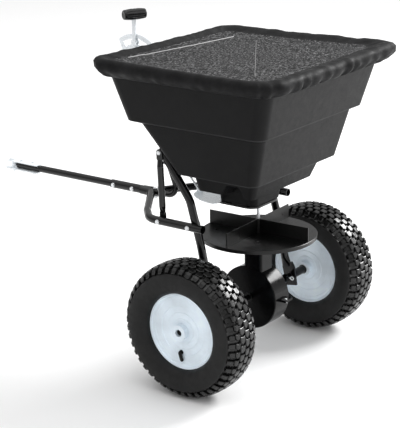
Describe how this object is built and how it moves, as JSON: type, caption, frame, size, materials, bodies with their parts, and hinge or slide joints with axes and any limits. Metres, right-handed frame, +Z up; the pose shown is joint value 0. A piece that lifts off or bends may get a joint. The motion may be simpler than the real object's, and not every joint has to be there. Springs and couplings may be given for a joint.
{
  "type": "tow-behind broadcast spreader",
  "caption": "Tow-behind broadcast spreader: tiered hopper with a cloth rain cover over a wheel-driven spreading disc, on a tubular frame with a pin hitch.",
  "frame": {"origin": "middle of the footprint box, on the ground the tyres stand on", "axes": "+X forward to the hitch, +Y the machine's left, +Z up"},
  "size_m": [1.053, 0.646, 0.8448],
  "materials": {
    "tyre": "dull black rubber with a moulded tread",
    "tube_rubber": "plain black rubber",
    "wheel_paint": "pale blue-grey gloss paint",
    "frame_paint": "black gloss powder coat",
    "hopper_plastic": "black moulded polyethylene, matt",
    "black_plastic": "black moulded nylon, slightly glossy",
    "case_metal": "black satin paint over pressed steel",
    "zinc": "bright zinc plate",
    "steel": "plain bright steel bar",
    "gear_steel": "oiled sintered iron",
    "bearing_nylon": "natural nylon",
    "grip_rubber": "black ribbed rubber",
    "cover_fabric": "black coated cloth, gathered by elastic"
  },
  "bodies": {
    "frame": {"axle_bushes": "black_plastic", "base_screws": "zinc", "case_bushes": "black_plastic", "case_screws": "zinc", "control_bolts": "zinc", "control_post": "frame_paint", "frame_bolts": "zinc", "frame_nuts": "zinc", "gear_case_lower": "case_metal", "gear_case_upper": "case_metal", "hitch_bolts": "zinc", "hitch_plate_lower": "zinc", "hitch_plate_upper": "zinc", "hopper": "hopper_plastic", "outlet_base": "black_plastic", "quadrant": "zinc", "shaft_bush": "bearing_nylon", "side_tube_left": "frame_paint", "side_tube_right": "frame_paint", "strut_left": "frame_paint", "strut_right": "frame_paint", "support_tube_left": "frame_paint", "support_tube_right": "frame_paint", "tow_tube": "frame_paint"},
    "drive_axle": {"axle": "steel", "crown_gear": "gear_steel", "crown_gear_pin": "steel", "drive_pin": "zinc", "retaining_rings": "zinc", "spacer_left": "black_plastic", "spacer_right": "black_plastic", "axle_collars": "case_metal", "cotter_pins": "zinc", "tyre_left": "tyre", "inner_tube_left": "tube_rubber", "rim_outer_left": "wheel_paint", "rim_inner_left": "wheel_paint", "hub_left": "wheel_paint", "valve_left": "tube_rubber", "hub_bushes_left": "bearing_nylon"},
    "idler_wheel": {"tyre_right": "tyre", "inner_tube_right": "tube_rubber", "rim_outer_right": "wheel_paint", "rim_inner_right": "wheel_paint", "hub_right": "wheel_paint", "valve_right": "tube_rubber", "hub_bushes_right": "bearing_nylon"},
    "impeller_group": {"impeller": "black_plastic", "impeller_shaft": "steel", "impeller_pin": "zinc", "agitator": "zinc", "pinion": "gear_steel"},
    "lever": {"control_lever": "zinc", "slot_guide": "zinc", "lever_grip": "grip_rubber"},
    "gate": {"shutoff_gate": "zinc"},
    "gate_rod": {"control_rod": "zinc"},
    "cover": {"rain_cover": "cover_fabric"},
    "tow_pin": {"hitch_pin": "zinc"}
  },
  "joints": [
    {"name": "axle_spin", "type": "hinge", "parent": "frame", "child": "drive_axle", "pos_m": [-0.2895, 0, 0.165], "axis": [0, 1, 0], "continuous": true},
    {"name": "idler_spin", "type": "hinge", "parent": "frame", "child": "idler_wheel", "pos_m": [-0.2895, -0.268, 0.165], "axis": [0, 1, 0], "continuous": true},
    {"name": "impeller_spin", "type": "hinge", "parent": "frame", "child": "impeller_group", "pos_m": [-0.301, 0, 0.3285], "axis": [0, 0, 1], "continuous": true},
    {"name": "lever_swing", "type": "hinge", "parent": "frame", "child": "lever", "pos_m": [0.06, 0, 0.696], "axis": [0, 1, 0], "range_deg": [-24, 24]},
    {"name": "gate_slide", "type": "slide", "parent": "frame", "child": "gate", "axis": [1, 0, 0], "range_m": [-0.02634, 0.02634]},
    {"name": "rod_swing", "type": "hinge", "parent": "gate", "child": "gate_rod", "pos_m": [-0.1415, 0.022, 0.421], "axis": [0, 1, 0], "range_deg": [-3.66, 3.66]},
    {"name": "cover_lift", "type": "slide", "parent": "frame", "child": "cover", "axis": [0, 0, 1], "range_m": [0, 0.16]},
    {"name": "tow_pin_lift", "type": "slide", "parent": "frame", "child": "tow_pin", "axis": [0, 0, 1], "range_m": [0, 0.06]}
  ],
  "couplings": [
    {"joint": "impeller_spin", "follows": "axle_spin", "ratio": -6},
    {"joint": "gate_slide", "follows": "lever_swing", "m_per_rad": -0.0624},
    {"joint": "rod_swing", "follows": "lever_swing", "ratio": 0.144}
  ]
}
